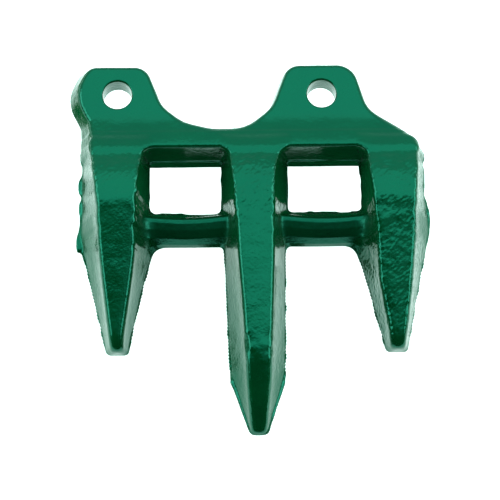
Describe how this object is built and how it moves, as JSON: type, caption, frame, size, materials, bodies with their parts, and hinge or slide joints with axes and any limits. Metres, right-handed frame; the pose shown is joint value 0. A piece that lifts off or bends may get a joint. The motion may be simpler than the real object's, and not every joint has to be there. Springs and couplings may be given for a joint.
{
  "type": "sickle bar knife guard",
  "caption": "Forged steel finger guard for a sickle cutter bar: bolting ears, long centre finger with a lip over the knife, short outer fingers, bridges between them, green paint.",
  "frame": {"origin": "midway between the two bolt holes, on the face that seats against the cutter bar", "axes": "+Z along the bolt holes, out of the keel side where the bolt heads go; +Y to the rear, over the bar; the fingers point along -Y; +X to the side with the sloping shoulder"},
  "size_m": [0.134, 0.1394, 0.0313],
  "materials": {
    "green_paint": "glossy green dipped paint over a forged skin"
  },
  "bodies": {
    "root": {"left_ear": "green_paint", "right_ear": "green_paint", "rear_bar": "green_paint", "left_finger": "green_paint", "centre_finger": "green_paint", "right_finger": "green_paint", "left_bridge": "green_paint", "right_bridge": "green_paint", "centre_point": "green_paint", "knife_lip": "green_paint"}
  },
  "joints": []
}
